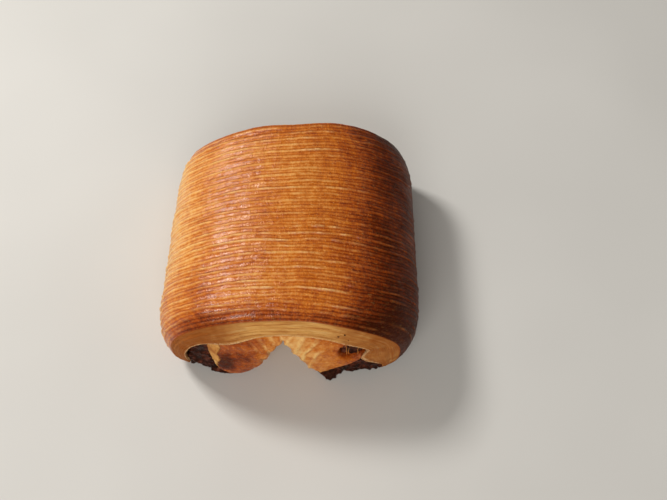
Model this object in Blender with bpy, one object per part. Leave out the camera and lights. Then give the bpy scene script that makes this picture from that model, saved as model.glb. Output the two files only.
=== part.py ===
"""Pain au chocolat: a sheet of laminated dough rolled inwards from both sides round bars of chocolate.

X runs across the two rolls, Y runs along them towards the back, and Z is up.
The origin lies on the surface that the pastry rests on, under the middle of its outline.
Sizes are in millimetres and become metres where a mesh is made.
"""

import math

import bmesh
import bpy
from mathutils import Matrix, Vector

MM = 0.001

# ---- Driving sizes, in millimetres ----
FRONT, BACK = -38.4, 42.0  # cut edges of the top sheet on the centre line
LEFT_REACH, RIGHT_REACH = 46.3, 48.3  # half widths near the middle of the length
CROWN = 44.0  # height of the top
WAIST = 16.0  # height of the widest place
SQUAT = 2.2  # the lower curve aims this far under the base, so that the sheet rests on a flat foot

SHEET_LEFT, SHEET_TOP, SHEET_RIGHT = 5.6, 7.6, 15.0  # thickness of the wrapping sheet
LIP = 2.8  # how far the under side of the sheet stands out past its upper side at a cut end
SHEET_START, SHEET_END = 248.0, -68.0  # the sheet wraps between these angles, in degrees
SHEET_STEPS, LENGTH_STEPS = 54, 16

ROLL_STEPS = 44  # points round a roll
NOSE = 5.2  # how far the rolls' rounded ends stand out past the sheet's cut edge
FLARE = 9.0  # length over which the rolls narrow from their full section to the end section

GAP = 0.35  # clearance between the chocolate and the dough

# Outlines of the two rolls, as (x, z) points that a smooth closed curve passes through.
# "full" is the section inside the pastry, and "end" the one that shows at the cut ends.
# They start at the outer foot and run up the outer side, along the top and down the cleft.
LEFT_FULL = [(-32, 0), (-39, 7), (-40.5, 18), (-35, 30), (-22, 37), (-2, 39.5),
             (4, 36), (3.5, 26), (-1, 16), (-5, 8), (-10.5, 2.6), (-17, 0)]
LEFT_END = [(-23, 0), (-27.5, 5), (-29, 16), (-28, 28), (-18, 34.5), (-7, 38),
            (0.5, 37), (1.5, 34), (-1.2, 29), (-5.6, 16), (-9.6, 6.8), (-16, 0)]
RIGHT_FULL = [(33, 0), (40, 7), (41.5, 18), (36, 30), (22, 37), (2, 39.5),
              (-5, 36), (-5, 26), (-1, 16), (3.5, 8), (8, 2.6), (13.5, 0)]
RIGHT_END = [(21.5, 9.5), (28, 14.5), (30, 20), (29, 28), (19, 34.5), (7, 38),
             (-1.5, 37), (-2.5, 34), (-0.5, 29), (3.4, 15), (6.8, 5.5), (12.5, 0)]
LEFT_NOSE, RIGHT_NOSE = (-19.5, 6.0), (13.0, 7.5)  # middles of the rounded ends

# Chocolate sections, as (x, z) points, and how far each bar stands out past the sheet's edge.
CHOCOLATE_LEFT = [(-34.8, 7), (-35.8, 17), (-33, 24), (-29.2, 27), (-27.4, 21), (-27.2, 11),
                  (-24, 5.2), (-20, 1.8), (-28, 1.2), (-32.5, 2.2)]
CHOCOLATE_RIGHT_UPPER = [(19.2, 21.5), (21, 25.4), (25, 26), (27.8, 22.6), (25.6, 18.6), (21.4, 18.2)]
CHOCOLATE_RIGHT_LOWER = [(11, 1.4), (15.5, 6), (21.5, 9.6), (28, 13), (32.5, 8.5), (34.5, 2.8), (24, 1.2)]
CHOCOLATE_STEPS = 30

# ---- Looks, as plain colours ----
CRUST = (0.56, 0.27, 0.09)
CHOCOLATE = (0.045, 0.018, 0.012)


def clear_scene():
    for obj in list(bpy.data.objects):
        bpy.data.objects.remove(obj)


def material(name, colour, roughness):
    made = bpy.data.materials.new(name)
    made.use_nodes = True
    shader = made.node_tree.nodes["Principled BSDF"]
    shader.inputs["Base Color"].default_value = (*colour, 1.0)
    shader.inputs["Roughness"].default_value = roughness
    shader.inputs["Metallic"].default_value = 0.0
    return made


def smooth_step(low, high, value):
    share = min(1.0, max(0.0, (value - low) / (high - low)))
    return share * share * (3 - 2 * share)


def mix(a, b, share):
    return a + (b - a) * share


def closed_curve(points, count):
    """Points spaced evenly in parameter on a smooth closed curve through the given ones."""
    total = len(points)
    curve = []
    for step in range(count):
        place = step * total / count
        i = int(place)
        t = place - i
        before, start, end, after = (points[(i + k) % total] for k in (-1, 0, 1, 2))
        curve.append(tuple(
            0.5 * (2 * b + (c - a) * t + (2 * a - 5 * b + 4 * c - d) * t * t
                   + (3 * b - a - 3 * c + d) * t ** 3)
            for a, b, c, d in zip(before, start, end, after)
        ))
    return curve


# ---- The outer shape of the pastry ----
def length_share(y):
    """-1 at the front edge of the sheet, 1 at its back edge."""
    return (y - (FRONT + BACK) / 2) / ((BACK - FRONT) / 2)


def reach(side, v):
    """Half width on one side: it narrows a little to the back and rounds off at the ends."""
    if side < 0:
        straight, front_round, back_round = LEFT_REACH - 2.5 * (v + 0.3), 5.4, 3.2
    else:
        straight, front_round, back_round = RIGHT_REACH - 0.7 * v, 7.5, 3.8
    return straight - (front_round if v < 0 else back_round) * abs(v) ** 7


def crown(v):
    return CROWN - 1.6 * max(0.0, v) - 0.5 * abs(v) ** 8


def front_edge(x):
    """The cut edge runs a little further forward on the right than in the middle."""
    return FRONT - 1.6 * smooth_step(4, 30, x) + 0.6 * smooth_step(34, 44, x)


def back_edge(x):
    return BACK + 1.9 * smooth_step(0, 20, x) - 1.2 * smooth_step(26, 42, x) - 2.8 * smooth_step(6, 36, -x)


def arch_point(angle, v):
    """A point of the pastry's outer skin at an angle in the XZ plane, for a length share v."""
    cos, sin = math.cos(angle), math.sin(angle)
    across = 2 / 2.1 if sin > 0 else 2 / 3.4
    x = math.copysign(abs(cos) ** across * reach(cos, v), cos)
    if sin > 0:
        return x, WAIST + (crown(v) - WAIST) * sin ** across
    return x, max(0.0, WAIST - (WAIST + SQUAT) * abs(sin) ** across)


def inner_point(angle, v):
    """The matching point on the sheet's under side, which is an arch of its own inside the skin."""
    cos, sin = math.cos(angle), math.sin(angle)
    across = 2 / 2.1 if sin > 0 else 2 / 3.4
    half_width = reach(cos, v) - (SHEET_LEFT if cos < 0 else SHEET_RIGHT)
    x = math.copysign(abs(cos) ** across * half_width, cos)
    if sin > 0:
        return x, WAIST + (crown(v) - SHEET_TOP - WAIST) * sin ** across
    return x, WAIST - (WAIST - SHEET_LEFT) * abs(sin) ** across


def sheet_section(v):
    """Outer and inner (x, z) points of the wrapping sheet, from the left foot to the right foot."""
    angles = [math.radians(mix(SHEET_START, SHEET_END, i / SHEET_STEPS)) for i in range(SHEET_STEPS + 1)]
    return [arch_point(a, v) for a in angles], [inner_point(a, v) for a in angles]


def link(name, bm, collection):
    bmesh.ops.recalc_face_normals(bm, faces=bm.faces)
    mesh = bpy.data.meshes.new(name)
    bm.to_mesh(mesh)
    bm.free()
    obj = bpy.data.objects.new(name, mesh)
    collection.objects.link(obj)
    return obj


def loft(name, rings, collection, strip_caps=False):
    """A closed body through rings of points. A strip cap joins the two halves of a C-shaped ring."""
    bm = bmesh.new()
    rows = [[bm.verts.new(Vector(p) * MM) for p in ring] for ring in rings]
    count = len(rows[0])
    for first, second in zip(rows, rows[1:]):
        for i in range(count):
            j = (i + 1) % count
            bm.faces.new((first[i], first[j], second[j], second[i]))
    for row in (rows[0], rows[-1]):
        if strip_caps:
            for i in range(count // 2 - 1):
                bm.faces.new((row[i], row[i + 1], row[count - 2 - i], row[count - 1 - i]))
        else:
            bm.faces.new(row)
    return link(name, bm, collection)


def make_sheet(collection):
    """The outer sheet, with sloping cut faces at the front and the back."""
    rings = []
    for step in range(LENGTH_STEPS + 1):
        v = math.sin(math.pi / 2 * (2 * step / LENGTH_STEPS - 1))
        outer, inner = sheet_section(v)
        share = (v + 1) / 2
        ring = [(x, mix(front_edge(x), back_edge(x), share), z) for x, z in outer]
        ring += [(x, mix(front_edge(x) - LIP, back_edge(x) + LIP, share), z) for x, z in reversed(inner)]
        rings.append(ring)
    return loft("dough", rings, collection, strip_caps=True)


def roll_stations():
    """(y, blend from the full section to the end section, scale of the rounded end)."""
    nose_front, nose_back = FRONT - NOSE, BACK + NOSE - 2.4
    ends = []
    for tip, inwards in ((nose_front, 1), (nose_back, -1)):
        rounded = [(tip + inwards * NOSE * (1 - math.cos(a)), 1.0, math.sin(a) ** 0.7)
                   for a in (math.radians(d) for d in (20, 34, 48, 62, 76, 90))]
        narrowing = [(tip + inwards * (NOSE + FLARE * k / 3), 1 - smooth_step(0, 3, k), 1.0) for k in (1, 2, 3)]
        ends.append(rounded + narrowing)
    between = [(mix(ends[0][-1][0], ends[1][-1][0], k / 5), 0.0, 1.0) for k in range(1, 5)]
    return ends[0] + between + ends[1][::-1]


def make_roll(name, full, end, nose, collection):
    """One roll: its section narrows at each end and closes in a rounded nose that bears on the base."""
    full_curve, end_curve = closed_curve(full, ROLL_STEPS), closed_curve(end, ROLL_STEPS)
    rings = []
    for y, blend, scale in roll_stations():
        ring = []
        for (fx, fz), (ex, ez) in zip(full_curve, end_curve):
            x, z = mix(fx, ex, blend), mix(fz, ez, blend)
            ring.append((nose[0] + (x - nose[0]) * scale, y, max(0.0, nose[1] + (z - nose[1]) * scale)))
        rings.append(ring)
    return loft(name, rings, collection)


def offset(curve, distance):
    """The clockwise curve moved outwards by a distance, or inwards where it is negative."""
    edges = [curve[(i + 1) % len(curve)] - curve[i - 1] for i in range(len(curve))]
    return [p + Vector((-e.y, e.x)).normalized() * distance for p, e in zip(curve, edges)]


def make_chocolate(name, outline, tips, collection):
    """A melted bar that runs through the pastry and rounds off at its ends."""
    curve = [Vector(p) for p in closed_curve(outline, CHOCOLATE_STEPS)]
    rounding = [(0.0, -1.3), (0.5, -0.6), (1.6, 0.0)]
    stations = [(tips[0] + d, inset) for d, inset in rounding]
    stations += [(mix(tips[0], tips[1], k / 5), 0.0) for k in range(1, 5)]
    stations += [(tips[1] - d, inset) for d, inset in reversed(rounding)]
    rings = [[(p.x, y, p.y) for p in offset(curve, inset)] for y, inset in stations]
    return loft(name, rings, collection)


def make_space(name, outline, tips, collection):
    """The room that a bar lies in: the same outline with the clearance, open past both ends."""
    curve = offset([Vector(p) for p in closed_curve(outline, CHOCOLATE_STEPS)], GAP)
    rings = [[(p.x, y, p.y) for p in curve] for y in (tips[0] - 8, tips[1] + 8)]
    return loft(name, rings, collection)


def add_boolean(obj, other, operation):
    modifier = obj.modifiers.new(f"{operation.lower()} {other.name}", "BOOLEAN")
    modifier.object = other
    modifier.operation = operation
    modifier.solver = "EXACT"
    other.hide_render = True
    other.display_type = "WIRE"


def centre(objects):
    """Moves every body alike, so that the origin lies under the middle of the whole outline."""
    corners = [v.co for obj in objects for v in obj.data.vertices]
    shift = Vector([(min(c[axis] for c in corners) + max(c[axis] for c in corners)) / 2 for axis in (0, 1)] + [0])
    for obj in bpy.data.objects:
        obj.data.transform(Matrix.Translation(-shift))


def main():
    clear_scene()
    pastry = bpy.data.collections.new("pain_au_chocolat")
    helpers = bpy.data.collections.new("cutters")
    bpy.context.scene.collection.children.link(pastry)
    bpy.context.scene.collection.children.link(helpers)

    dough = make_sheet(pastry)
    dough.data.materials.append(material("crust", CRUST, 0.45))
    rolls = [
        make_roll("left_roll", LEFT_FULL, LEFT_END, LEFT_NOSE, helpers),
        make_roll("right_roll", RIGHT_FULL, RIGHT_END, RIGHT_NOSE, helpers),
    ]
    for roll in rolls:
        add_boolean(dough, roll, "UNION")

    dark = material("chocolate", CHOCOLATE, 0.35)
    for name, outline, tips in (
        ("chocolate_left", CHOCOLATE_LEFT, (FRONT - 2.6, BACK + 1.6)),
        ("chocolate_right_upper", CHOCOLATE_RIGHT_UPPER, (FRONT - 5.2, BACK + 4.2)),
        ("chocolate_right_lower", CHOCOLATE_RIGHT_LOWER, (FRONT - 5.0, BACK + 3.2)),
    ):
        bar = make_chocolate(name, outline, tips, pastry)
        bar.data.materials.append(dark)
        add_boolean(dough, make_space(f"{name}_space", outline, tips, helpers), "DIFFERENCE")

    centre([*pastry.objects, *rolls])


main()
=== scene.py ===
# %% [markdown]
# # A pain au chocolat
#
# A pain au chocolat is one sheet of laminated dough, folded with butter into many thin layers.
# The baker rolls it inwards from both sides round bars of chocolate and trims the ends.
# This one has a striped sheet on the outside: thin raised lines run across its whole back.
# The lesson builds it in the order a baker would think of it: the sheet, the rolls, the chocolate, the
# glaze.

# %% The frame
import math

import bmesh
import bpy
import numpy as np
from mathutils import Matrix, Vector, noise


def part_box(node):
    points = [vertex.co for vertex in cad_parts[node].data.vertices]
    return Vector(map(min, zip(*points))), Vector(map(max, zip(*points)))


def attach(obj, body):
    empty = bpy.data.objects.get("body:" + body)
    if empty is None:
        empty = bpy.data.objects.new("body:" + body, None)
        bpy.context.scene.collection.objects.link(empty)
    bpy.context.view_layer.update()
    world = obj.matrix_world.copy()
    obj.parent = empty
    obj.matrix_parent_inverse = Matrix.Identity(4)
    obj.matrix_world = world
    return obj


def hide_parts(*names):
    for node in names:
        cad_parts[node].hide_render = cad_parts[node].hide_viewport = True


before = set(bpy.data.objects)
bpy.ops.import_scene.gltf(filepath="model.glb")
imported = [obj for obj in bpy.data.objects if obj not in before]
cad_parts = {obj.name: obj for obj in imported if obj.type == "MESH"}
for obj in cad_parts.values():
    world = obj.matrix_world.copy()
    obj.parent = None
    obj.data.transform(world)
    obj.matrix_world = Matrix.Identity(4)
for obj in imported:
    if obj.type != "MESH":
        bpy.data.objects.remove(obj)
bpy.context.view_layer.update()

# %% [markdown]
# ## Sizes
#
# Every size below is in millimetres, measured from the middle of the dough sheet before baking.
# The finished model stands centred over its base, so all of it moves by one small step.
# That step comes from the model's own box, which keeps every new piece where the solid ones are.

# %% Sizes of the sheet
FRONT, BACK = -38.4, 42.0
LEFT_REACH, RIGHT_REACH, CROWN, WAIST, SQUAT = 46.3, 48.3, 44.0, 16.0, 2.2
SHEET_LEFT, SHEET_TOP, SHEET_RIGHT = 5.6, 7.6, 15.0
LIP = 2.8
NOSE, FLARE = 5.2, 9.0

CHOCOLATE_REACH, CHOCOLATE_OUT = 35.8, 5.0
STEP_X = -CHOCOLATE_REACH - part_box("chocolate_left")[0][0] * 1000
STEP_Y = FRONT - CHOCOLATE_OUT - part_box("chocolate_right_lower")[0][1] * 1000
print("the pieces move by", round(-STEP_X, 2), round(-STEP_Y, 2), "mm")


def placed(points):
    """Points in the baker's millimetres, as metres in the model's own place."""
    return (np.asarray(points, float) - (STEP_X, STEP_Y, 0.0)) * 0.001


# %% [markdown]
# ## Small helpers
#
# Three tools return in every step: a blend between two values, a soft step, and noise.
# Noise makes baked things believable, because no ridge, edge or colour on dough is even.
# Blender's own noise gives the same value for the same place each time, so nothing here is left to chance.

# %% Helpers
def mix(a, b, share):
    return a + (b - a) * share


def soft_step(low, high, value):
    share = np.clip((value - low) / (high - low), 0, 1)
    return share * share * (3 - 2 * share)


def grain(x, y, z, octaves=1):
    """Noise between about -1 and 1 for arrays of places."""
    x, y, z = np.broadcast_arrays(x, y, z)
    flat = zip(x.ravel().tolist(), y.ravel().tolist(), z.ravel().tolist())
    if octaves == 1:
        values = [noise.noise(p) for p in flat]
    else:
        values = [noise.fractal(p, 1.0, 2.1, octaves) for p in flat]
    return np.array(values).reshape(x.shape)


# %% [markdown]
# ## The outside form
#
# Seen from the end the pastry is an arch that rests on a flattened foot.
# A circle is too round for it and a box too square, so the arch is a superellipse:
# the sine and cosine of a circle, each raised to a power that squares the shoulders a little.
# Seen from above, the sides close in towards both cut ends.

# %% The arch
def reach(cos, v):
    """Half width towards the left or the right, for a share v of the length from -1 to 1."""
    ends = np.abs(v) ** 7
    left = LEFT_REACH - 2.5 * (v + 0.3) - np.where(v < 0, 5.4, 3.2) * ends
    right = RIGHT_REACH - 0.7 * v - np.where(v < 0, 7.5, 3.8) * ends
    return np.where(cos < 0, left, right)


def crown(v):
    return CROWN - 1.6 * np.maximum(0, v) - 0.5 * np.abs(v) ** 8


def arch(angle, v, walls=(0.0, 0.0, 0.0, -SQUAT)):
    """x and z of the skin at an angle, or of a curve inside it by the walls (left, right, top, below)."""
    left, right, top, below = walls
    cos, sin = np.cos(angle), np.sin(angle)
    power = np.where(sin > 0, 2 / 2.1, 2 / 3.4)
    half = reach(cos, v) - np.where(cos < 0, left, right)
    x = np.sign(cos) * np.abs(cos) ** power * half
    up = WAIST + (crown(v) - top - WAIST) * np.abs(sin) ** power
    down = np.maximum(0.0, WAIST - (WAIST - below) * np.abs(sin) ** power)
    return x, np.where(sin > 0, up, down)


def tucked(angle, v):
    """The sheet's feet reach far under the middle of the pastry and less far at its ends."""
    less = np.where(angle > np.pi / 2, 0.20, 0.17) * soft_step(0.62, 1.0, np.abs(v))
    return np.pi / 2 + (angle - np.pi / 2) * (1 - less)


def to_foot(angle):
    """0 over the whole arch, then rising to 1 down each side to the foot."""
    return np.clip((np.abs(np.degrees(angle) - 90) - 88) / 40, 0, 1)


def sheet_walls(angle, v):
    """The sheet's thickness at an angle: it tapers to a lip at both feet and thins beside the small bar."""
    turned = np.degrees(angle)
    thin_left = 1 - 0.94 * to_foot(angle) ** 2
    thin_right = 1 - 0.94 * np.clip((5 - turned) / 46, 0, 1)
    hollow = 7.0 * np.exp(-(((turned - 33) / 16) ** 2)) * soft_step(-0.5, -1.0, v)
    below = SHEET_LEFT * (1 - 0.94 * to_foot(angle))
    return SHEET_LEFT * thin_left, SHEET_RIGHT * thin_right - hollow, SHEET_TOP, below


def front_edge(x):
    return FRONT - 1.6 * soft_step(4, 30, x) + 0.6 * soft_step(34, 44, x)


def back_edge(x):
    return BACK + 1.9 * soft_step(0, 20, x) - 1.2 * soft_step(26, 42, x) - 2.8 * soft_step(6, 36, -x)


# %% [markdown]
# ## Points across the arch
#
# Even angles would crowd the points at the top and starve the sides.
# The arch is walked instead, and a point is set down after each equal stretch of skin.
# The distance walked is kept as `girth`, and the glaze uses it later to run its streaks the right way.

# %% Even steps over the arch
COLUMNS = 232
walk = np.radians(np.linspace(248, -68, 3000))
walk_x, walk_z = arch(walk, 0.0)
walked = np.concatenate([[0], np.cumsum(np.hypot(np.diff(walk_x), np.diff(walk_z)))])
girth = np.linspace(0, walked[-1], COLUMNS)
angles = np.interp(girth, walked, walk)
print("the skin is", round(walked[-1]), "mm from foot to foot, a column every", round(girth[1], 2), "mm")

# %% [markdown]
# ## The ridges
#
# The stripes are the edges of thin dough strips laid side by side, so they stand up as narrow crests.
# A bump texture would leave the outline of the pastry smooth, and the crests show in it.
# They are real geometry: rows of points crowd round each crest and thin out in the groove between.
# Each crest wanders a little, fades in places and comes back.

# %% Rows along the ridges
RIDGES = 30
PHASES = np.array([-0.5, -0.37, -0.26, -0.17, -0.1, -0.04, 0.03, 0.1, 0.2, 0.34])
ridge_place = (np.arange(RIDGES)[:, None] + 0.5 + PHASES[None, :]).ravel()
ridge_place = np.append(ridge_place, RIDGES)
RIDGE_HIGH, CREST_WIDTH = 0.52, 0.11


def crest_strength(place, along):
    """How strongly a crest stands up at a place: some fade, and all vary along their length."""
    which = np.floor(place)
    each = 0.74 + 0.7 * grain(which * 7.31, 0.3, 5.0)
    patches = 0.88 + 0.8 * grain(which * 1.9, along / 15, 9.0) + 0.85 * grain(which * 3.3, along / 3.4, 2.0)
    return np.clip(each * patches, 0.05, 1.25)


def crest_shape(place):
    """Height across one pitch: a narrow crest in the middle and a hollow on each side."""
    off = place - np.floor(place) - 0.5
    return np.exp(-((off / CREST_WIDTH) ** 2)) - 0.22 * (1 - np.cos(2 * np.pi * off)) * 0.5


# %% [markdown]
# ## The wrapping sheet
#
# The sheet is one closed band. Going round its thickness, it has a skin, a cut face at the front,
# an under side, most of which the rolls hide, and a cut face at the back.
# One grid covers all four: rows go round the band and columns run from foot to foot.
# The skin is moved outwards along its own normals, so the ridges stand square to it on the flanks too.

# %% Skin of the sheet
def grid_normals(points):
    """Unit normals of a grid of points."""
    across = np.gradient(points, axis=1)
    along = np.gradient(points, axis=0)
    normal = np.cross(across, along)
    return normal / np.maximum(np.linalg.norm(normal, axis=2, keepdims=True), 1e-9)


row_place = ridge_place[:, None]
wander = 0.16 * grain(row_place * 0.55, girth / 11, 1.7) + 0.34 * grain(row_place * 0.11, girth / 30, 6.1)
wander += 0.07 * grain(row_place * 0.8, girth / 3.4, 2.4)
ends_still = soft_step(0, 1.5, row_place) * soft_step(0, 1.5, RIDGES - row_place)
share = np.clip((row_place + wander * ends_still) / RIDGES, 0, 1) + 0 * girth
v = 2 * share - 1
skin_x, skin_z = arch(tucked(angles, v), v)
skin_y = mix(front_edge(skin_x), back_edge(skin_x), share)
skin = np.stack([skin_x, skin_y, skin_z], axis=2)
normals = grid_normals(skin)
strength = crest_strength(row_place, girth)
strength = mix(strength, 0.85 * strength ** 2.2, soft_step(-24, 10, skin_x))
unevenness = 0.35 * grain(skin_x / 17, skin_y / 17, skin_z / 17)
unevenness = unevenness + 0.14 * grain(skin_x / 5, skin_y / 5, skin_z / 5)
unevenness += 0.10 * grain(skin_x / 1.7, skin_y / 1.2, skin_z / 1.7)
flatter = 1 - 0.5 * soft_step(28, 44, skin_x)
relief = RIDGE_HIGH * flatter * strength * crest_shape(row_place) * ends_still + unevenness
skin = skin + normals * relief[..., None]
skin[..., 2] = np.maximum(skin[..., 2], 0.02)
print("skin grid", skin.shape[:2], "relief up to", round(float(relief.max()), 2), "mm")

# %% [markdown]
# ## The cut faces
#
# A sharp wheel trims the ends, and the cut shows the layers of the dough as fine lines.
# The cut slopes: its lower edge stands further out than its upper one, because the dough springs as it
# bakes.
# Rows of points run down the thickness, and each is pushed in or out a little as one layer or another
# stands proud.

# %% Cut faces of the sheet
def cut_face(outer_edge, direction, v_end, rows, seed):
    """Rows from the skin's edge to the under side. direction is -1 at the front and 1 at the back."""
    turn = tucked(angles, v_end)
    inner_x, inner_z = arch(turn, v_end, sheet_walls(turn, v_end))
    edge = front_edge if direction < 0 else back_edge
    torn = np.exp(-(((inner_x + 20) / 8) ** 2)) * (inner_z > WAIST)
    out = LIP * (1 - 0.9 * to_foot(turn)) + 0.9 * torn
    inner = np.stack([inner_x, edge(inner_x) + direction * out, inner_z - 2.6 * torn], axis=1)
    teeth = 0.35 * grain(girth / 3.2, seed, 0.5, 3) + (0.25 + 0.3 * torn) * grain(girth / 1.1, seed, 2.5, 2)
    upper_teeth = teeth * soft_step(1.0, 0.4, to_foot(turn))
    inner += np.stack([0 * girth, 0.5 * direction * teeth, upper_teeth], axis=1)
    depth = np.linspace(0, 1, rows)[:, None]
    face = mix(outer_edge[None], inner[None], depth[..., None])
    layers = 0.46 * grain(girth / 26, depth * 8, seed) + 0.16 * grain(girth / 9, depth * 19, seed + 3)
    crumb = 0.12 * grain(girth / 1.6, depth * 5, seed + 7)
    seam = np.exp(-(((depth - 0.84 + 0.05 * grain(girth / 20, seed, 4.0)) / 0.04) ** 2))
    seam = seam * (0.45 + 0.55 * np.exp(-(((inner_x - 5) / 11) ** 2))) + 0 * girth
    bulge = 0.5 * np.sin(np.pi * depth)
    face[..., 1] += direction * (layers + crumb - 0.8 * seam + bulge) * soft_step(0, 0.12, depth)
    return face, depth + 0 * girth, seam


CUT_ROWS, UNDER_ROWS = 26, 6
front_cut, front_depth, front_seam = cut_face(skin[0], -1, -1.0, CUT_ROWS, 11.0)
back_cut, back_depth, back_seam = cut_face(skin[-1], 1, 1.0, CUT_ROWS, 23.0)
middle_share = np.linspace(0, 1, UNDER_ROWS + 2)[1:-1, None]
under = mix(front_cut[-1][None], back_cut[-1][None], middle_share[..., None])
under_v = 2 * middle_share - 1
under_turn = tucked(angles, under_v)
under_x, under_z = arch(under_turn, under_v, sheet_walls(under_turn, under_v))
under[..., 0], under[..., 2] = under_x, under_z
band = np.concatenate([skin, back_cut[1:], under[::-1], front_cut[:0:-1]])
print("band grid", band.shape[:2])

# %% [markdown]
# ## From grid to mesh
#
# A mesh needs faces as well as points. `surface` joins each point to its neighbours in the grid,
# closes the grid where its rows or columns meet, and fills the two holes that are left.
# It also stores numbers on the points, named for what they mean, for the materials to read.

# %% Surface builder
def surface(name, grid, facts, close_rows=False, close_columns=False, caps=()):
    """A mesh object from a grid of millimetre points, with the numbers in facts stored on its points."""
    rows, columns = grid.shape[:2]
    index = np.arange(rows * columns).reshape(rows, columns)
    if close_rows:
        index = np.vstack([index, index[:1]])
    if close_columns:
        index = np.hstack([index, index[:, :1]])
    quads = np.stack([index[:-1, :-1], index[:-1, 1:], index[1:, 1:], index[1:, :-1]], axis=2).reshape(-1, 4)
    mesh = bpy.data.meshes.new(name)
    faces = quads.tolist() + [list(map(int, cap)) for cap in caps]
    mesh.from_pydata(placed(grid).reshape(-1, 3).tolist(), [], faces)
    for fact, values in facts.items():
        layer = mesh.attributes.new(fact, "FLOAT", "POINT")
        layer.data.foreach_set("value", np.asarray(values, np.float32).ravel())
    solid = bmesh.new()
    solid.from_mesh(mesh)
    bmesh.ops.recalc_face_normals(solid, faces=solid.faces)
    solid.to_mesh(mesh)
    solid.free()
    mesh.polygons.foreach_set("use_smooth", [True] * len(mesh.polygons))
    piece = bpy.data.objects.new(name, mesh)
    bpy.context.scene.collection.objects.link(piece)
    return piece


# %% [markdown]
# ## How baked each place is
#
# The oven browns what stands out and what dries first. The crown is golden, the flanks that lean away
# stay pale,
# the rim above the front cut and the whole right side are a deep red brown.
# One number from 0 (pale) to 1 (dark) says this for each point, and the glaze turns it into colour. On the
# cut faces the same number is painted shade, darker towards both sides.

# %% Browning of the skin
def skin_browning(points, place, along):
    x, y, z = points[..., 0], points[..., 1], points[..., 2]
    crown_gold = 0.36 + 0.06 * soft_step(0, 24, x) - 0.04 * soft_step(10, 38, y)
    left_pale = -0.21 * soft_step(28, 45, -x) * (0.75 + 0.25 * soft_step(-34, 0, y))
    left_pale = left_pale - 0.04 * soft_step(10, 34, -x)
    right_deep = 0.46 * soft_step(15, 41, x) * (0.88 + 0.12 * soft_step(4, 30, np.abs(y)))
    front_rim = 0.26 * soft_step(3.0, 0.3, place) * soft_step(-49, -38, x)
    front_left = 0.15 * soft_step(-8, -32, y) * soft_step(-12, -36, x)
    front_right = 0.10 * soft_step(-14, -34, y) * soft_step(18, 32, x)
    back_rim = 0.14 * soft_step(RIDGES - 3, RIDGES, place)
    patches = 0.07 * grain(x / 13, y / 13, z / 13 + 4) + 0.06 * grain(x / 5, y / 5, z / 5 + 9)
    bands = 0.06 * grain(np.floor(place) * 2.7, along / 22, 3.0)
    rims = front_rim + front_left + front_right + back_rim
    return np.clip(crown_gold + left_pale + right_deep + rims + patches + bands, 0.0, 1.0)


def cut_side_shade(points):
    """Painted shade: the cut is darker towards both sides, with some random tone on top."""
    x, z = points[..., 0], points[..., 2]
    shaded_sides = 0.80 * soft_step(4, 30, -x) + 0.66 * soft_step(6, 30, x)
    return np.clip(0.05 + shaded_sides + 0.16 * grain(x / 6, z / 3, 2.0) + 0.12 * grain(x / 2, z / 2, 8.0), 0, 1)


def along_band(on_skin, on_back, on_under, on_front):
    """Numbers for the four sides of the band, in the order of its rows."""
    return np.concatenate([on_skin, on_back[1:], on_under[::-1], on_front[:0:-1]])


flat_under = np.zeros((UNDER_ROWS, COLUMNS))
skin_ridge = row_place + 0 * girth
skin_bake = skin_browning(skin, row_place, girth)
facts = {
    "ridge": along_band(skin_ridge, back_depth + RIDGES, middle_share * RIDGES + flat_under, front_depth * 0),
    "girth": np.broadcast_to(girth, band.shape[:2]),
    "crest": along_band(strength, back_seam, flat_under, front_seam),
    "depth": along_band(skin_ridge * 0, back_depth, flat_under + 1, front_depth),
    # on the cut rows this number is painted shade, darker towards both sides
    "bake_and_shade": along_band(skin_bake, cut_side_shade(back_cut), flat_under, cut_side_shade(front_cut)),
}
rows = band.shape[0]
feet = ([r * COLUMNS for r in range(rows)], [r * COLUMNS + COLUMNS - 1 for r in range(rows)][::-1])
sheet = surface("striped_sheet", band, facts, close_rows=True, caps=feet)
print("sheet has", len(sheet.data.polygons), "faces")

# %% [markdown]
# ## The two rolls
#
# Under the sheet lie two rolls, one from each side, with a deep cleft between them.
# Their section is drawn as a few points and a smooth curve passes through them.
# The section shrinks towards a nose at each end, which rounds the roll off as it swells out of the sheet.

# %% Sections of the rolls
LEFT_FULL = [(-32, 0), (-39, 7), (-40.5, 18), (-35, 30), (-22, 37), (-2, 39.5),
             (4, 36), (3.5, 26), (-1, 16), (-5, 8), (-10.5, 2.6), (-17, 0)]
LEFT_END = [(-23, 0), (-27.5, 5), (-29, 16), (-28, 28), (-18, 34.5), (-7, 38),
            (0.5, 37), (1.5, 34), (-1.2, 29), (-5.6, 16), (-9.6, 6.8), (-16, 0)]
RIGHT_FULL = [(33, 0), (40, 7), (41.5, 18), (36, 30), (22, 37), (2, 39.5),
              (-5, 36), (-5, 26), (-1, 16), (3.5, 8), (8, 2.6), (13.5, 0)]
RIGHT_END = [(21.5, 9.8), (28, 14.5), (30, 20), (29, 28), (19, 34.5), (7, 38),
             (-1.5, 37), (-2.5, 34), (-0.5, 29), (3.4, 15), (6.8, 6.5), (12.5, 1.8)]
AROUND = 132


def closed_curve(points, count):
    """Points at even parameters on a smooth closed curve through the given ones."""
    points = np.array(points, float)
    place = np.arange(count) * len(points) / count
    i = place.astype(int)
    t = (place - i)[:, None]
    before, start, end, after = (points[(i + k) % len(points)] for k in (-1, 0, 1, 2))
    return 0.5 * (2 * start + (end - before) * t + (2 * before - 5 * start + 4 * end - after) * t ** 2
                  + (3 * start - before - 3 * end + after) * t ** 3)


# %% [markdown]
# ## Stations along a roll
#
# A station is a place along the roll with three numbers: where it lies, how far it has narrowed, and its
# scale.
# They are close together over the visible ends and further apart in the middle, where only the cleft shows.

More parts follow.
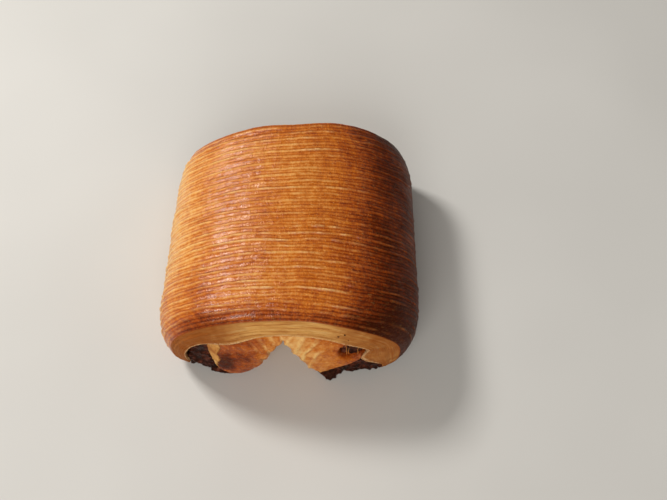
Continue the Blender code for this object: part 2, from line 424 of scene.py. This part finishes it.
# %% Stations
def end_stations(tip, inwards):
    """(y, narrowing, scale) from the tip of a nose to where the roll has its full section."""
    turn = np.radians(np.linspace(7, 90, 46))
    nose = [(tip + inwards * NOSE * (1 - np.cos(a)), 1.0, np.sin(a) ** 0.7) for a in turn]
    flare = [(tip + inwards * (NOSE + FLARE * k), 1 - float(soft_step(0, 1, k)), 1.0)
             for k in np.linspace(0, 1, 27)[1:]]
    return nose + flare


front_stations = end_stations(FRONT - NOSE, 1)
back_stations = end_stations(BACK + NOSE - 2.4, -1)
middle_y = np.linspace(front_stations[-1][0], back_stations[-1][0], 100)[1:-1]
stations = np.array(front_stations + [(y, 0.0, 1.0) for y in middle_y] + back_stations[::-1])
print(len(stations), "stations along each roll")


def roll_grid(full, end, nose):
    """Points of a roll and the distance along its surface, before any relief."""
    y, narrowing, scale = (stations[:, k][:, None] for k in range(3))
    whole, narrow = closed_curve(full, AROUND), closed_curve(end, AROUND)
    x = nose[0] + (mix(whole[:, 0], narrow[:, 0], narrowing) - nose[0]) * scale
    z = nose[1] + (mix(whole[:, 1], narrow[:, 1], narrowing) - nose[1]) * scale
    grid = np.stack([x, y + 0 * x, z], axis=2)
    path = np.hypot(np.diff(stations[:, 0]), np.diff(stations[:, 2]) * 13)
    return grid, np.concatenate([[0], np.cumsum(path)])[:, None] + 0 * x


# %% [markdown]
# ## Crests on the rolls
#
# The edges of the rolled layers show on the blunt ends as nested arcs, so the same crest shape is used
# as on the sheet.
# A crest lies wherever the distance from one place on the end face passes another step, which gives arcs
# at once.
# They fade out on the outer side of each roll, where the dough is smooth, and the whole end is finely
# blistered.
# The left roll ends in a small torn fold beside the chocolate: its points are pushed back behind a
# slanting line.

# %% Roll surfaces
ARC_PITCH = 3.5


def loop_normals(grid):
    """Unit normals of a grid whose columns close on themselves, facing out of a clockwise section."""
    wrapped = np.concatenate([grid[:, -2:], grid, grid[:, :2]], axis=1)
    return -grid_normals(wrapped)[:, 2:-2]


def roll(full, end, nose, centre, clear, browning):
    """Points and facts of a roll. Its arcs lie round centre, and fade out between the two x of clear."""
    grid, path = roll_grid(full, end, nose)
    x, y, z = (grid[..., k] for k in range(3))
    round_about = np.arange(AROUND)[None, :] * 0.8 + 0 * x
    behind = np.maximum(0, np.minimum(y - FRONT, BACK - y - 1.5))
    away = np.sqrt((x - centre[0]) ** 2 + (0.45 * (z - centre[1])) ** 2 + behind ** 2)
    place = (away + 0.8 * grain(x / 8, y / 8, z / 8 + nose[0])) / ARC_PITCH
    strength = 0.35 + 0.75 * crest_strength(place + 40 * (nose[0] > 0), round_about)
    strength = strength * soft_step(3.0, 6.0, away) * mix(0.04, 1.0, soft_step(clear[0], clear[1], x))
    blisters = 0.30 * np.maximum(0, grain(x / 1.5, y / 1.5, z / 1.5)) + 0.12 * grain(x / 3, y / 3, z / 3)
    arcs = 0.60 * strength * crest_shape(place) * soft_step(35, 30, z)
    relief = arcs + 0.35 * grain(x / 7, y / 7, z / 7) + blisters * soft_step(37, 33, z)
    steady = soft_step(0, 3, path)
    shaped = grid + loop_normals(grid) * (relief * steady)[..., None]
    shaped[..., 2] = np.maximum(shaped[..., 2], 0.03)
    facts = {
        "ridge": place, "girth": round_about, "crest": strength * steady,
        "depth": 0 * x, "bake_and_shade": browning(shaped),
    }
    return shaped, facts


def left_roll_browning(points):
    x, y, z = points[..., 0], points[..., 1], points[..., 2]
    near_end = soft_step(12, 2, np.minimum(y - FRONT + NOSE, BACK + NOSE - y))
    base = 0.34 + 0.28 * soft_step(-3, -15, x) + 0.16 * grain((x + 0.7 * z) / 2.6, y / 9, (z - 0.7 * x) / 9)
    scorched = 0.66 * np.exp(-(((x + 22.9) / 3.2) ** 2) - ((z - 14.5) / 6.0) ** 2)
    return np.clip(base * near_end + scorched + 0.12 * grain(x / 5, y / 5, z / 5), 0, 1)


def right_roll_browning(points):
    x, y, z = points[..., 0], points[..., 1], points[..., 2]
    near_end = soft_step(12, 2, np.minimum(y - FRONT + NOSE, BACK + NOSE - y))
    base = 0.15 + 0.20 * soft_step(3, 12, x) + 0.24 * soft_step(13, 24, x) + 0.14 * grain(x / 3, y / 6, z / 2)
    return np.clip(base * near_end + 0.10 * grain(x / 5, y / 5, z / 5), 0, 1)


def pocket(x, y, z):
    """1 over the hollow in the right roll where the upper chocolate shows, 0 away from it."""
    behind = 0.36 * (y > 0)
    ragged = (0.10 + behind) * grain(x / 1.9, z / 1.9, 3.0)
    off = np.hypot((x - 23.8) / 5.2, (z - 22.8) / 5.4) + ragged + behind
    return soft_step(1.08, 0.86, off)


rolls = {}
for name, full, end, nose, centre, clear, browning in (
    ("left_roll", LEFT_FULL, LEFT_END, (-19.5, 6.0), (-24.5, 8.5), (-17, -8), left_roll_browning),
    ("right_roll", RIGHT_FULL, RIGHT_END, (13.0, 7.5), (17.0, 8.0), (15.5, 10.5), right_roll_browning),
):
    grid, facts = roll(full, end, nose, centre, clear, browning)
    if name == "left_roll":
        tall = grid[..., 2]
        crease = -23.4 - 0.11 * (30 - tall) + 0.9 * grain(tall / 4, 5.0, 1.0)
        crease = crease + 0.5 * grain(tall / 1.3, 2.0, 7.0)
        fold = np.clip(crease - grid[..., 0], 0, 3) * (grid[..., 2] > 3)
        grid[..., 1] += np.where(grid[..., 1] < 0, 0.35, -0.35) * fold
        torn = 0.45 * grain(grid[..., 0] / 0.8, grid[..., 1], grid[..., 2] / 2.2)
        grid[..., 1] += torn * soft_step(0.0, 0.8, fold)
        facts["depth"] = soft_step(0.0, 0.4, fold) * 0.45
        facts["bake_and_shade"] = mix(facts["bake_and_shade"], 0.22 + 0.9 * torn, soft_step(0.0, 0.4, fold))
    else:
        hollow = pocket(grid[..., 0], grid[..., 1], grid[..., 2])
        grid[..., 1] += np.where(grid[..., 1] < 0, 3.2, -3.2) * hollow
        facts["bake_and_shade"] = mix(facts["bake_and_shade"], 0.9, hollow)
        facts["crest"] = facts["crest"] * (1 - hollow)
    count = grid.shape[0] * AROUND
    tips = (list(range(AROUND)), list(range(count - AROUND, count))[::-1])
    rolls[name] = surface(name, grid, facts, close_columns=True, caps=tips)
    print(name, len(rolls[name].data.polygons), "faces")

# %% [markdown]
# ## The chocolate
#
# One thin bar is baked into the left roll and two into the right. They melt, swell into the gaps
# and set again with a rough, bubbled face.
# A smooth bar pushed in and out by noise would look like putty, because melted chocolate also joins into
# lumps.
# So each bar is the smooth form plus many small blobs, all merged into one skin by a voxel remesh,
# and only then is that skin roughened.

# %% Chocolate sections
CHOCOLATE_LEFT = [(-34.8, 7), (-CHOCOLATE_REACH, 17), (-33, 24), (-29.2, 27), (-27.4, 21), (-27.2, 11),
                  (-24, 5.2), (-20, 1.8), (-28, 1.2), (-32.5, 2.2)]
CHOCOLATE_RIGHT_UPPER = [(19.2, 21.5), (21, 25.4), (25, 26), (27.8, 22.6), (25.6, 18.6), (21.4, 18.2)]
CHOCOLATE_RIGHT_LOWER = [(11, 1.4), (15.5, 6), (21.5, 9.6), (28, 13), (32.5, 8.5), (34.5, 2.8), (24, 1.2)]


def end_lean(outline, x, z, slant, turn):
    """How far a bar's end stands out at a place: its foot by slant, and its right side by turn."""
    return slant * (12 - z) + turn * (x - np.mean(outline, axis=0)[0])


def add_bar(solid, outline, y_front, y_back, slant, turn):
    """A plain closed bar from end to end."""
    curve = closed_curve(outline, 40)
    stands_out = end_lean(outline, curve[:, 0], curve[:, 1], slant, turn)
    rings = []
    for y in np.linspace(0, 1, 9):
        lean = stands_out * (1 if y > 0.5 else -1) * (y in (0.0, 1.0))
        ring = np.stack([curve[:, 0], mix(y_front, y_back, y) + lean, curve[:, 1]], axis=1)
        rings.append([solid.verts.new(p) for p in placed(ring)])
    for a, b in zip(rings, rings[1:]):
        for i in range(len(a)):
            j = (i + 1) % len(a)
            solid.faces.new((a[i], a[j], b[j], b[i]))
    solid.faces.new(rings[0])
    solid.faces.new(rings[-1][::-1])


def inside(outline, x, z):
    """True where a place lies inside the closed curve."""
    curve = closed_curve(outline, 60)
    x1, z1 = curve[:, 0], curve[:, 1]
    x2, z2 = np.roll(x1, -1), np.roll(z1, -1)
    crosses = (z1 > z) != (z2 > z)
    at = x1 + (z - z1) * (x2 - x1) / np.where(z2 == z1, 1e-9, z2 - z1)
    return int(np.sum(crosses & (x < at))) % 2 == 1


# %% [markdown]
# ## Blobs and remesh
#
# Blobs are scattered over the two ends with a seeded generator, so they fall in the same places every time.
# A few more are listed one by one: the run beside the right bar and the smear beside the left one.
# Three crumbs take their places from the cut face itself, because a crumb placed by guess hangs in the air.
# The remesh builds one new skin on a fine lattice round everything inside, with no hidden faces.

# %% Melted bars
VOXEL = 0.00045


def add_blob(solid, x, y, z, size):
    blob = bmesh.ops.create_icosphere(solid, subdivisions=2, radius=size * 0.001)
    centre = Vector(placed([(x, y, z)])[0])
    for vert in blob["verts"]:
        vert.co = centre + Vector((vert.co.x, vert.co.y, vert.co.z * 0.85))


def melted_bar(name, outline, y_front, y_back, slant, turn, blobs, seed, drips=()):
    rng = np.random.default_rng(seed)
    solid = bmesh.new()
    add_bar(solid, outline, y_front, y_back, slant, turn)
    low, high = np.min(outline, axis=0), np.max(outline, axis=0)
    made = 0
    while made < blobs:
        x, z = rng.uniform(low, high)
        if inside(outline, x, z):
            size = rng.uniform(0.5, 1.25)
            for y, side in ((y_front, -1), (y_back, 1)):
                lean = end_lean(outline, x, z, slant, turn) * side
                add_blob(solid, x, y + lean - side * rng.uniform(0.0, 0.7) * size, max(z, size * 0.8), size)
            made += 1
    for x, y, z, size in drips:
        add_blob(solid, x, y, z, size)
    bmesh.ops.recalc_face_normals(solid, faces=solid.faces)
    mesh = bpy.data.meshes.new(name)
    solid.to_mesh(mesh)
    solid.free()
    piece = bpy.data.objects.new(name, mesh)
    bpy.context.scene.collection.objects.link(piece)
    remesh = piece.modifiers.new("one skin", "REMESH")
    remesh.mode = "VOXEL"
    remesh.voxel_size = VOXEL
    bpy.context.view_layer.update()
    skinned = bpy.data.meshes.new_from_object(piece.evaluated_get(bpy.context.evaluated_depsgraph_get()))
    piece.modifiers.clear()
    piece.data = skinned
    at, outwards = np.zeros((2, len(skinned.vertices) * 3))
    skinned.vertices.foreach_get("co", at)
    skinned.vertex_normals.foreach_get("vector", outwards)
    at, outwards = at.reshape(-1, 3), outwards.reshape(-1, 3)
    x, y, z = at.T * 1000
    rough = 0.22 * grain(x / 1.7 + seed, y / 1.7, z / 1.7, 3)
    pits = -0.30 * np.maximum(0, grain(x / 0.9, y / 0.9 + seed, z / 0.9) - 0.25)
    at += outwards * ((rough + pits) * 0.001)[:, None]
    at[:, 2] = np.maximum(at[:, 2], 0.00005)
    skinned.vertices.foreach_set("co", at.ravel())
    skinned.polygons.foreach_set("use_smooth", [True] * len(skinned.polygons))
    print(name, len(skinned.polygons), "faces")
    return piece


drip = [(13.0, -42.2, 1.2, 1.2), (14.0, -43.2, 1.3, 1.2), (15.4, -44.6, 1.0, 0.9), (16.4, -43.2, 1.6, 1.3),
        (15.0, -42.2, 2.2, 1.4), (17.8, -42.6, 1.1, 1.0), (12.0, -41.8, 0.8, 0.8), (16.8, -44.0, 0.8, 0.7),
        (19.4, -41.9, 1.2, 1.1), (15.7, -45.0, 0.6, 0.5), (14.3, -44.5, 0.7, 0.6), (17.6, -44.2, 0.6, 0.5)]
smear = [(-28.8 + k * 0.95, -41.0 - 0.9 * math.sin(k / 10 * math.pi / 2), 0.8,
          0.65 + 0.35 * math.sin(k / 10 * math.pi)) for k in range(11)]
smear += [(-36.2, -37.6 - 0.2 * k, 1.2 + 2.6 * k, 1.3) for k in range(5)]


def on_front_cut(x, share):
    """The place on the front cut above this x, this share of the way down the cut."""
    row = front_cut[round(share * (CUT_ROWS - 1))]
    above = row[row[:, 2] > WAIST]
    return above[np.argmin(np.abs(above[:, 0] - x))]


crumbs = [(*on_front_cut(x, share), size)
          for x, share, size in ((18.8, 0.54, 0.60), (20.5, 0.36, 0.50), (22.3, 0.62, 0.50))]
print("crumbs lie on the cut at", [[round(float(c), 1) for c in crumb[:3]] for crumb in crumbs])
chocolate = {}
for name, outline, y_front, y_back, slant, turn, blobs, seed, drips in (
    ("melted_left", CHOCOLATE_LEFT, FRONT - 1.0, BACK + 0.2, 0.10, 0.13, 90, 5, smear),
    ("melted_upper", CHOCOLATE_RIGHT_UPPER, FRONT - 2.1, BACK + 1.2, 0.0, 0.0, 30, 8, crumbs),
    ("melted_lower", CHOCOLATE_RIGHT_LOWER, FRONT - 2.6, BACK + 1.6, 0.05, -0.07, 80, 13, drip),
):
    chocolate[name] = melted_bar(name, outline, y_front, y_back, slant, turn, blobs, seed, drips)

# %% [markdown]
# ## Threads of dough
#
# Where the small bar breaks through, a few threads of dough stay stretched across the opening.
# Each is a short tube that is thinner in its middle and hangs back a little between its ends.

# %% Dough threads
THREAD_RINGS, THREAD_SIDES = 15, 8


def thread(name, x, lean, thick):
    rise = np.linspace(0, 1, THREAD_RINGS)
    turn = np.linspace(0, 2 * np.pi, THREAD_SIDES, endpoint=False)
    radius = thick * (0.75 + 0.5 * np.abs(2 * rise - 1))
    sway = 0.6 * grain(rise * 2.2, x, 1.0)
    hang = -41.8 + 0.7 * rise + 0.4 * np.sin(np.pi * rise)
    heart = np.stack([x + lean * rise + sway, hang, 19.8 + 7.6 * rise], axis=1)
    around = np.stack([np.cos(turn), np.sin(turn), 0 * turn], axis=1)
    grid = heart[:, None] + radius[:, None, None] * around[None]
    tall = rise[:, None] + 0 * turn
    facts = {"ridge": tall, "girth": 4 * tall, "crest": 0 * tall, "depth": 0 * tall + 0.5,
             "bake_and_shade": 0 * tall + 0.6}
    last = (THREAD_RINGS - 1) * THREAD_SIDES
    caps = (list(range(THREAD_SIDES)), list(range(last, last + THREAD_SIDES))[::-1])
    return surface(name, grid, facts, close_columns=True, caps=caps)


threads = [thread("dough_thread_1", 21.4, -0.4, 0.14), thread("dough_thread_2", 22.6, 0.5, 0.12),
           thread("dough_thread_3", 25.6, 0.8, 0.13)]
print(len(threads), "threads across the small bar")

# %% [markdown]
# ## Building materials from nodes
#
# A material is a small machine of nodes: numbers go in, colour and gloss come out.
# `node` adds one node and plugs in its inputs at once, which keeps the recipes below readable.
# Colours are given as a cook would read them from a screen, from 0 to 255, and turned into light values.

# %% Node helpers
def colour(red, green, blue):
    parts = [c / 255 for c in (red, green, blue)]
    return (*[c / 12.92 if c <= 0.04045 else ((c + 0.055) / 1.055) ** 2.4 for c in parts], 1.0)


def node(tree, kind, plugs=None, **settings):
    made = tree.nodes.new(kind)
    for setting, value in settings.items():
        setattr(made, setting, value)
    for plug, value in (plugs or {}).items():
        if isinstance(value, bpy.types.NodeSocket):
            tree.links.new(value, made.inputs[plug])
        else:
            made.inputs[plug].default_value = value
    return made


def fact_of(tree, name):
    """The number stored on the points under this name."""
    return node(tree, "ShaderNodeAttribute", attribute_name=name).outputs["Fac"]


def sums(tree, operation, *values):
    plugs = dict(enumerate(values))
    return node(tree, "ShaderNodeMath", plugs, operation=operation).outputs[0]


def between(tree, value, low, high, to_low=0.0, to_high=1.0):
    """A soft ramp of a value from low to high."""
    plugs = {"Value": value, "From Min": low, "From Max": high, "To Min": to_low, "To Max": to_high}
    return node(tree, "ShaderNodeMapRange", plugs, interpolation_type="SMOOTHSTEP").outputs["Result"]


def tint(tree, share, first, second):
    """first where share is 0, second where it is 1."""
    made = node(tree, "ShaderNodeMix", {0: share}, data_type="RGBA")
    for plug, value in ((6, first), (7, second)):
        if isinstance(value, bpy.types.NodeSocket):
            tree.links.new(value, made.inputs[plug])
        else:
            made.inputs[plug].default_value = value
    return made.outputs[2]


def shades(tree, value, stops):
    """A colour ramp through (position, colour) stops."""
    ramp = node(tree, "ShaderNodeValToRGB", {"Fac": value})
    elements = ramp.color_ramp.elements
    while len(elements) < len(stops):
        elements.new(0.5)
    for element, (position, shade) in zip(elements, stops):
        element.position = position
        element.color = shade
    return ramp.outputs["Color"]


def cloud(tree, where, scale, detail=3.0, roughness=0.55, stretch=(1, 1, 1)):
    """Noise from 0 to 1 over a vector of places, squeezed or stretched first."""
    moved = node(tree, "ShaderNodeVectorMath", {0: where, 1: stretch}, operation="MULTIPLY").outputs[0]
    plugs = {"Vector": moved, "Scale": scale, "Detail": detail, "Roughness": roughness}
    return node(tree, "ShaderNodeTexNoise", plugs).outputs["Fac"]


# %% [markdown]
# ## The glazed crust and the cut crumb
#
# Egg wash dries to a thin gloss, browns in the hollows and shines on the crests.
# Its pale crest lines are partly the dough's own pale layer edges and partly painted highlight, and its pale
# specks are painted glints.
# The recipe reads the numbers stored on the points: how far along the stripes and the girth a place is,
# how strong the crest is there and how baked it is, which on a cut is painted shade instead. That keeps every
# streak aligned with the dough, which a texture laid over the whole object in straight lines couldn't do
# round the rolls.
# Where `depth` is above zero the place is on a cut, so the same material turns to dry, pale, layered crumb,
# with painted shade towards both sides of the cut and in its pores, and a pale torn edge that is partly
# painted highlight.

# %% Crust
PITCH = (BACK - FRONT) / RIDGES


def crust_material(name, line_width=0.19, line_strength=0.95, laid=True):
    """Crust whose patterns follow the stripes where it is laid in them, and are even where it isn't."""
    made = bpy.data.materials.new(name)
    made.use_nodes = True
    tree = made.node_tree
    shader = tree.nodes["Principled BSDF"]
    ridge, round_about = fact_of(tree, "ridge"), fact_of(tree, "girth")
    crest, depth, bake_and_shade = fact_of(tree, "crest"), fact_of(tree, "depth"), fact_of(tree, "bake_and_shade")
    along = sums(tree, "MULTIPLY", ridge, PITCH)
    on_skin = node(tree, "ShaderNodeCombineXYZ", {"X": round_about, "Y": along}).outputs[0]
    if not laid:
        place = node(tree, "ShaderNodeTexCoord").outputs["Object"]
        in_mm = node(tree, "ShaderNodeVectorMath", {0: place, "Scale": 1000.0}, operation="SCALE")
        on_skin = in_mm.outputs[0]

    def pattern(detail, roughness, *stretch):
        return cloud(tree, on_skin, 1.0, detail, roughness, stretch if laid else [max(stretch) * 0.8] * 3)

    off = sums(tree, "ABSOLUTE", sums(tree, "SUBTRACT", sums(tree, "FRACT", ridge), 0.5))
    broken = between(tree, pattern(4, 0.7, 0.7, 0.25, 0.3), 0.36, 0.54, 0.25, 1.0)
    faded = between(tree, pattern(2, 0.5, 0.09, 0.30, 0.1), 0.40, 0.60, 0.15, 1.0)
    faded = sums(tree, "MAXIMUM", faded, between(tree, bake_and_shade, 0.42, 0.26))
    broken = sums(tree, "MULTIPLY", broken, faded)
    line = sums(tree, "MULTIPLY", between(tree, off, line_width, 0.02), sums(tree, "MULTIPLY", crest, broken))
    shoulder = sums(tree, "MULTIPLY", between(tree, off, 0.14, 0.24), between(tree, off, 0.49, 0.30))

    streaks = pattern(2, 0.5, 0.12, 0.6, 0.1)
    threads = pattern(4, 0.7, 1.0, 0.38, 0.3)
    glint_dots = pattern(2, 0.6, 1.9, 1.9, 1.9)
    mottle = pattern(5, 0.72, 0.42, 0.55, 0.5)
    glint_dashes = pattern(3, 0.6, 0.42, 2.1, 1.0)
    drips = pattern(3, 0.55, 0.30, 0.05, 0.1)
    baked = sums(tree, "ADD", bake_and_shade, sums(tree, "MULTIPLY", sums(tree, "SUBTRACT", streaks, 0.5), 0.22))
    baked = sums(tree, "ADD", baked, sums(tree, "MULTIPLY", sums(tree, "SUBTRACT", threads, 0.5), 0.26))
    baked = sums(tree, "ADD", baked, sums(tree, "MULTIPLY", sums(tree, "SUBTRACT", mottle, 0.5), 0.66))
    baked = sums(tree, "ADD", baked, sums(tree, "MULTIPLY", sums(tree, "SUBTRACT", drips, 0.5), 0.14))
    baked = sums(tree, "ADD", baked, sums(tree, "MULTIPLY", shoulder, 0.15 if laid else 0.03))
    baked = node(tree, "ShaderNodeClamp", {"Value": baked}).outputs[0]
    skin_colour = shades(tree, baked, (
        (0.00, colour(240, 192, 120)), (0.20, colour(229, 160, 82)), (0.40, colour(204, 112, 27)),
        (0.60, colour(166, 73, 10)), (0.80, colour(112, 40, 5)), (1.00, colour(68, 20, 2)),
    ))
    # The pale crest lines are partly the dough's own pale layer edges and partly painted highlight, strongest
    # where the crust is least baked.
    shows = between(tree, bake_and_shade, 0.62, 0.22, 0.34 * line_strength, line_strength)
    pale_line_and_highlight = sums(tree, "MULTIPLY", line, shows)
    line_and_highlight_colour = tint(tree, between(tree, bake_and_shade, 0.45, 0.80), colour(252, 206, 130), colour(206, 124, 58))
    skin_colour = tint(tree, pale_line_and_highlight, skin_colour, line_and_highlight_colour)
    # Pale specks: painted glints on small blisters, lighter where the crust is less baked.
    speck_and_glint = sums(tree, "MAXIMUM", between(tree, glint_dots, 0.60, 0.70), between(tree, glint_dashes, 0.60, 0.70))
    speck_and_glint = sums(tree, "MULTIPLY", speck_and_glint, between(tree, bake_and_shade, 0.9, 0.3, 0.12, 0.50))
    skin_colour = tint(tree, speck_and_glint, skin_colour, colour(244, 188, 108))

    down_cut = sums(tree, "MULTIPLY", depth, SHEET_TOP)
    in_cut = node(tree, "ShaderNodeCombineXYZ", {"X": round_about, "Y": down_cut, "Z": along}).outputs[0]
    leaves = cloud(tree, in_cut, 1.0, 3, 0.5, (0.05, 1.5, 0.3))
    fine_leaves = cloud(tree, in_cut, 1.0, 2, 0.5, (0.14, 4.2, 0.5))
    pores = cloud(tree, in_cut, 1.6, 3, 0.6)
    layered = sums(tree, "MULTIPLY", leaves, 0.72)
    layered = sums(tree, "ADD", layered, sums(tree, "MULTIPLY", fine_leaves, 0.28))
    crumb_colour = shades(tree, layered, (
        (0.34, colour(176, 106, 46)), (0.45, colour(210, 148, 78)), (0.57, colour(226, 170, 96)),
        (0.68, colour(240, 198, 132)),
    ))
    edge_bake = sums(tree, "MULTIPLY", between(tree, depth, 0.10, 0.0), 0.75)
    crumb_colour = tint(tree, edge_bake, crumb_colour, colour(150, 84, 36))
    # painted shade: the crumb turns darker brown towards both sides of the cut
    shaded_cut_sides = sums(tree, "MULTIPLY", between(tree, bake_and_shade, 0.1, 0.9), 0.9)
    crumb_colour = tint(tree, shaded_cut_sides, crumb_colour, colour(148, 76, 24))
    crumb_colour = tint(tree, sums(tree, "MULTIPLY", crest, 0.75), crumb_colour, colour(140, 72, 24))
    # A pale ragged edge at the foot of the cut: partly the dough's own torn layers and partly painted
    # highlight.
    torn_edge_and_highlight = sums(tree, "MULTIPLY", between(tree, depth, 0.88, 0.97), between(tree, pores, 0.42, 0.58))
    crumb_colour = tint(tree, sums(tree, "MULTIPLY", torn_edge_and_highlight, 0.8), crumb_colour, colour(244, 204, 152))
    # Painted shade inside the small pores of the crumb, which the bump also pushes in.
    shaded_pores = sums(tree, "MULTIPLY", between(tree, pores, 0.66, 0.72), 0.6)
    crumb_colour = tint(tree, shaded_pores, crumb_colour, colour(120, 66, 30))

    cut = between(tree, depth, 0.004, 0.03)
    tree.links.new(tint(tree, cut, skin_colour, crumb_colour), shader.inputs["Base Color"])
    gloss = between(tree, streaks, 0.3, 0.7, 0.5, 0.34)
    gloss = sums(tree, "SUBTRACT", gloss, sums(tree, "MULTIPLY", line, 0.1))
    roughness = node(tree, "ShaderNodeMix", {0: cut, 2: gloss, 3: 0.72}, data_type="FLOAT").outputs[0]
    tree.links.new(roughness, shader.inputs["Roughness"])
    shader.inputs["Specular IOR Level"].default_value = 0.10
    shader.inputs["Specular Tint"].default_value = colour(255, 214, 165)
    shader.inputs["Coat Roughness"].default_value = 0.2
    glazed = between(tree, bake_and_shade, 0.45, 0.85, 0.85, 0.05)
    glazed = sums(tree, "MULTIPLY", glazed, between(tree, drips, 0.35, 0.6, 0.5, 1.0))
    glazed = sums(tree, "MULTIPLY", glazed, 1.0 if laid else 0.3)
    glazed = node(tree, "ShaderNodeMix", {0: cut, 2: glazed, 3: 0.04}, data_type="FLOAT").outputs[0]
    tree.links.new(glazed, shader.inputs["Coat Weight"])

    blisters = pattern(3, 0.65, 1.3, 1.5, 1.3)
    skin_height = sums(tree, "MULTIPLY", threads, 0.7)
    skin_height = sums(tree, "ADD", skin_height, sums(tree, "MULTIPLY", blisters, 1.1))
    cut_height = sums(tree, "ADD", fine_leaves, sums(tree, "MULTIPLY", shaded_pores, -0.8))
    height = node(tree, "ShaderNodeMix", {0: cut, 2: skin_height, 3: cut_height}, data_type="FLOAT")
    height = height.outputs[0]
    bump = node(tree, "ShaderNodeBump", {"Strength": 1.0, "Distance": 0.00040, "Height": height})
    tree.links.new(bump.outputs["Normal"], shader.inputs["Normal"])
    ripple = node(tree, "ShaderNodeBump", {"Strength": 1.0, "Distance": 0.00013, "Height": height})
    tree.links.new(ripple.outputs["Normal"], shader.inputs["Coat Normal"])
    return made


crust = crust_material("glazed crust")
sheet.data.materials.append(crust)
roll_crust = crust_material("crust of the rolls", line_width=0.30, line_strength=0.95, laid=False)
for piece in (*rolls.values(), *threads):
    piece.data.materials.append(roll_crust)
print("crust nodes:", len(crust.node_tree.nodes))

# %% [markdown]
# ## Set chocolate
#
# Dark chocolate that has melted in the oven sets dull in some places and glossy in others.
# Its colour is nearly black brown with a dusty, reddish bloom on the crumbly parts, and its palest patches
# are painted glints.
# Two clouds of noise do it: a coarse one for the bloom and its painted glints and a fine one for the grain of
# the surface.

# %% Chocolate
def chocolate_material(name):
    made = bpy.data.materials.new(name)
    made.use_nodes = True
    tree = made.node_tree
    shader = tree.nodes["Principled BSDF"]
    place = node(tree, "ShaderNodeTexCoord").outputs["Object"]
    bloom_and_glints = cloud(tree, place, 420.0, 4, 0.6)
    grit = cloud(tree, place, 1500.0, 3, 0.6)
    # The palest stops are painted glints on the lumps as well as bloom.
    tree.links.new(shades(tree, bloom_and_glints, (
        (0.34, colour(24, 9, 5)), (0.50, colour(44, 17, 11)), (0.60, colour(78, 38, 27)),
        (0.72, colour(118, 70, 54)),
    )), shader.inputs["Base Color"])
    tree.links.new(between(tree, bloom_and_glints, 0.35, 0.65, 0.22, 0.6), shader.inputs["Roughness"])
    shader.inputs["Specular IOR Level"].default_value = 0.12
    shader.inputs["Specular Tint"].default_value = colour(255, 180, 140)
    bump = node(tree, "ShaderNodeBump", {"Strength": 0.9, "Distance": 0.00025, "Height": grit})
    tree.links.new(bump.outputs["Normal"], shader.inputs["Normal"])
    return made


dark = chocolate_material("set chocolate")
for piece in chocolate.values():
    piece.data.materials.append(dark)

# %% [markdown]
# ## Telling the frame what each piece stands for
#
# The solid model has one body for the dough and one for each run of chocolate.
# The detailed pieces take their places here, and the plain solids stay behind only for the physics.

# %% Pieces and the solids they replace
for piece in (sheet, *rolls.values(), *threads):
    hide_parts("dough")
    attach(piece, "root")
for name, solid_name in (("melted_left", "chocolate_left"), ("melted_upper", "chocolate_right_upper"),
                         ("melted_lower", "chocolate_right_lower")):
    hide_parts(solid_name)
    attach(chocolate[name], "root")

# %% [markdown]
# ## Floor, light and camera
#
# A small soft lamp stands behind and to the left, as a shop window would, and draws the sheen along the
# left of the crown.
# A larger and weaker one lights the cut end from the front, and the room gives back a little light from
# all sides.
# The right flank turns away from the lamp and the shadow falls to the right.
# The floor is plain and pale, with the faintest unevenness so that it doesn't look like paper.

# %% Floor
bpy.ops.mesh.primitive_plane_add(size=4.0, location=(0, 0, 0))
floor = bpy.context.object
floor.name = "floor"
matt = bpy.data.materials.new("pale floor")
matt.use_nodes = True
floor_tree = matt.node_tree
floor_place = node(floor_tree, "ShaderNodeTexCoord").outputs["Object"]
floor_cloud = cloud(floor_tree, floor_place, 9.0, 2)
floor_shades = ((0.3, colour(205, 204, 200)), (0.7, colour(212, 211, 207)))
floor_tree.links.new(shades(floor_tree, floor_cloud, floor_shades),
                     floor_tree.nodes["Principled BSDF"].inputs["Base Color"])
floor_tree.nodes["Principled BSDF"].inputs["Roughness"].default_value = 0.7
floor.data.materials.append(matt)

# %% Light
def lamp(name, place, aim, size, power, tone):
    light = bpy.data.lights.new(name, "AREA")
    light.shape = "SQUARE"
    light.size = size
    light.energy = power
    light.color = tone
    made = bpy.data.objects.new(name, light)
    made.location = place
    made.rotation_euler = (Vector(aim) - Vector(place)).to_track_quat("-Z", "Y").to_euler()
    bpy.context.scene.collection.objects.link(made)
    return made


lamp("window", (-0.50, 0.38, 0.60), (0, 0, 0.02), 0.18, 5.6, (1.0, 0.97, 0.93))
lamp("room front", (-0.15, -0.75, 0.55), (0, 0, 0.02), 0.7, 5.0, (1.0, 0.96, 0.92))
world = bpy.data.worlds.new("room")
world.use_nodes = True
world.node_tree.nodes["Background"].inputs["Color"].default_value = (1.0, 0.95, 0.88, 1.0)
world.node_tree.nodes["Background"].inputs["Strength"].default_value = 0.20
bpy.context.scene.world = world

# %% Camera
camera = bpy.data.objects.new("camera", bpy.data.cameras.new("camera"))
camera.data.sensor_width = 36.0
camera.data.lens = 54.0
camera.location = placed([(16.9, -166.6, 361.5)])[0]
camera.rotation_euler = (math.radians(26.0), 0, 0)
bpy.context.scene.collection.objects.link(camera)
bpy.context.scene.camera = camera
bpy.context.scene.view_settings.view_transform = "Standard"
